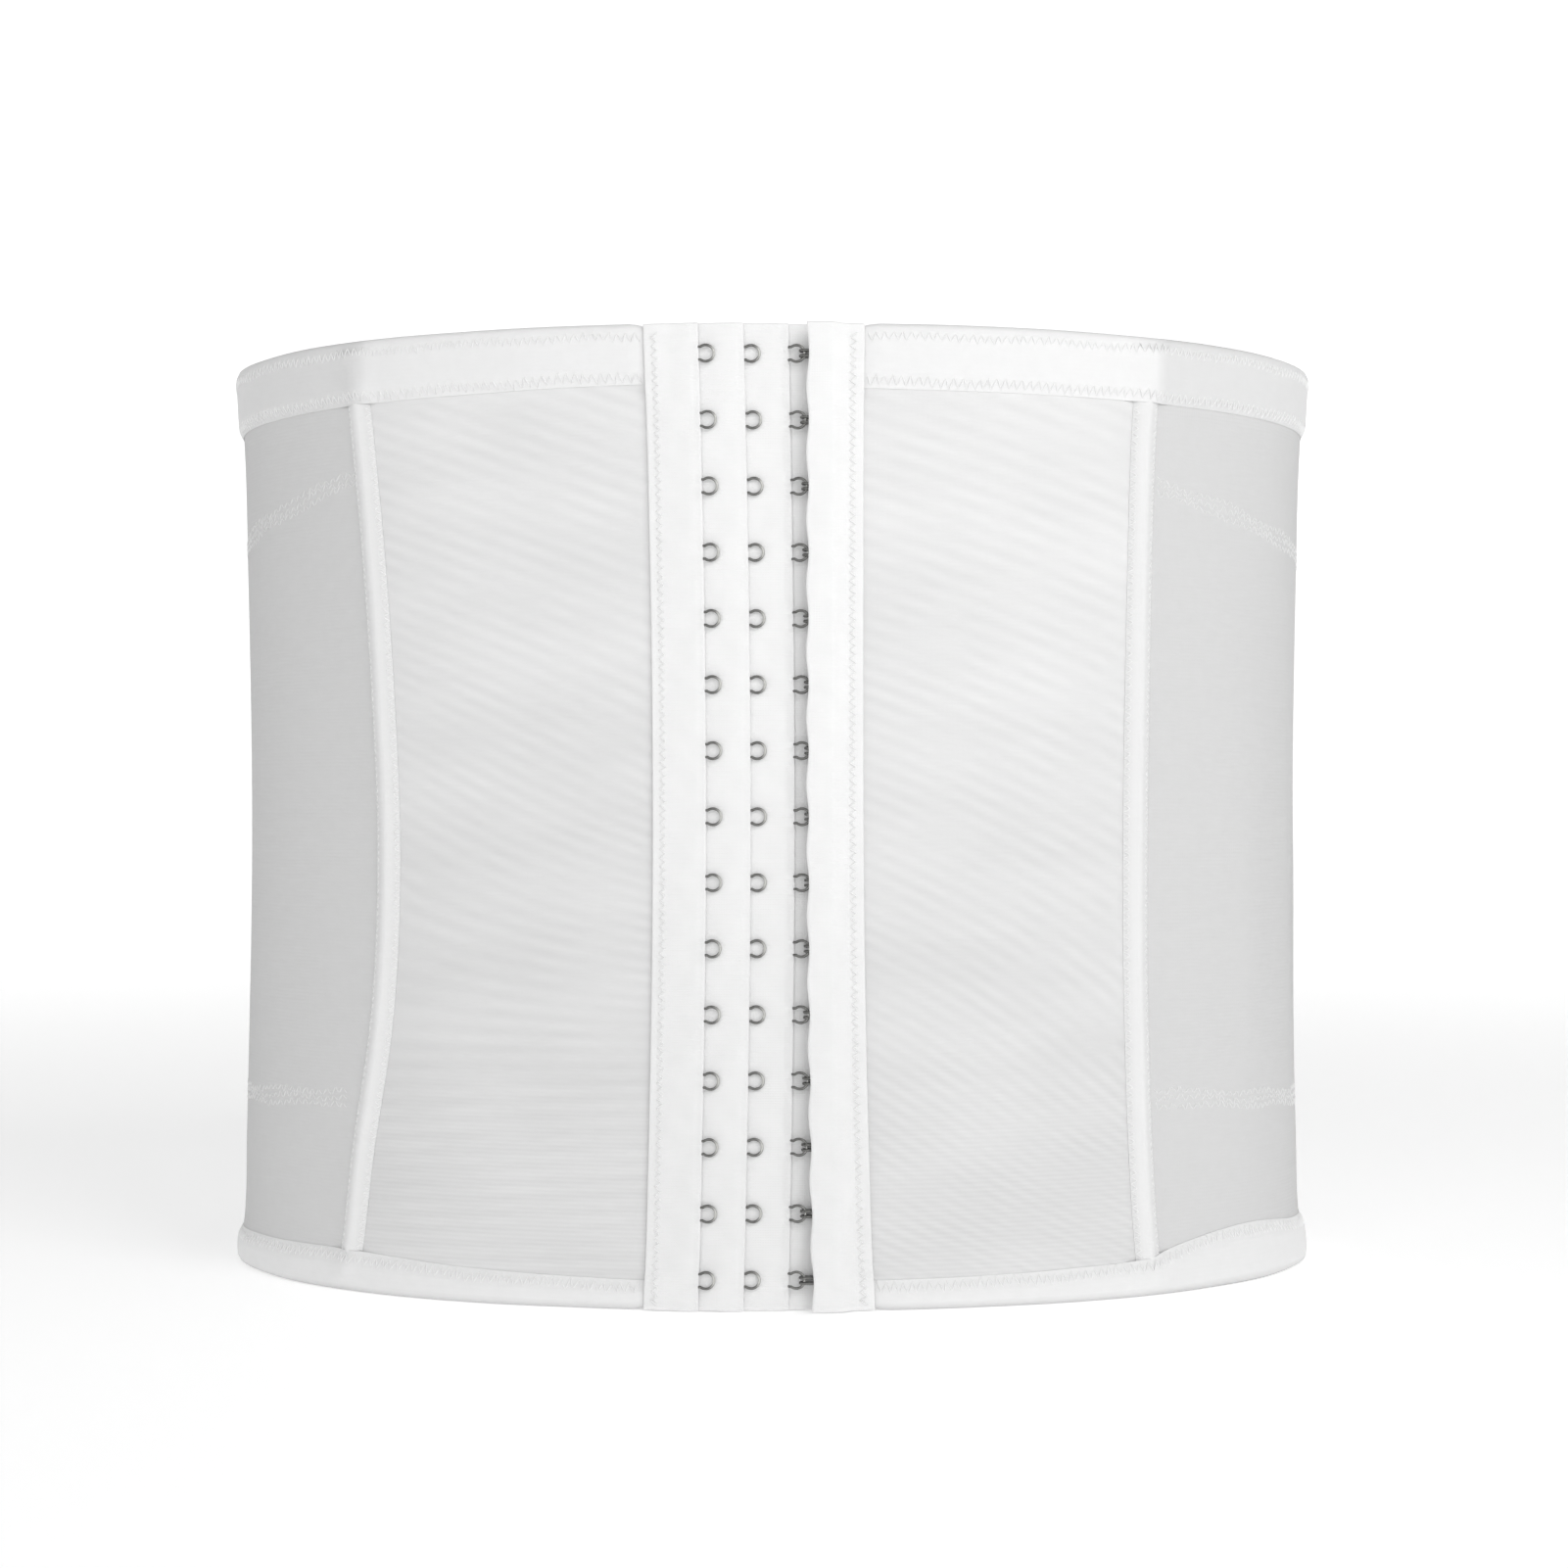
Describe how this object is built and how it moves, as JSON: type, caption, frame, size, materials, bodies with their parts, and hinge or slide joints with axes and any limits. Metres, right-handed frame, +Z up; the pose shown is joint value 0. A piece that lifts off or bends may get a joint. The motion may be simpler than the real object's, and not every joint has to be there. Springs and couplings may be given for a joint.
{
  "type": "lumbar compression belt",
  "caption": "Tall elastic waist and lumbar compression belt: boned mesh and tricot panels in a closed tube, bound at both ends, fastened in front by hook and eye tapes.",
  "frame": {"origin": "centre of the belt's footprint, on the surface that its hem stands on", "axes": "+Z up along the body, -Y out of the front with the closure, +X to the right of someone facing the front"},
  "size_m": [0.3508, 0.245, 0.2852],
  "materials": {
    "power_mesh": "matte white power mesh with faint slanting stripes",
    "tricot": "smooth white tricot with a soft sheen",
    "binding": "white knitted binding with zigzag stitching",
    "closure_tape": "white brushed hook and eye tape",
    "hook_wire": "dull nickel-plated steel wire"
  },
  "bodies": {
    "root": {"front_panel_left": "power_mesh", "front_panel_right": "power_mesh", "side_panel_left": "tricot", "side_panel_right": "tricot", "back_panel": "power_mesh", "front_bone_channel_left": "tricot", "front_bone_channel_right": "tricot", "back_bone_channel_left": "tricot", "back_bone_channel_right": "tricot", "top_band": "binding", "bottom_hem": "binding", "eye_backing": "closure_tape", "eye_tape_1": "closure_tape", "eye_tape_2": "closure_tape", "eye_tape_3": "closure_tape", "hook_panel": "closure_tape", "hook_01": "hook_wire", "hook_02": "hook_wire", "hook_03": "hook_wire", "hook_04": "hook_wire", "hook_05": "hook_wire", "hook_06": "hook_wire", "hook_07": "hook_wire", "hook_08": "hook_wire", "hook_09": "hook_wire", "hook_10": "hook_wire", "hook_11": "hook_wire", "hook_12": "hook_wire", "hook_13": "hook_wire", "hook_14": "hook_wire", "hook_15": "hook_wire"}
  },
  "joints": []
}
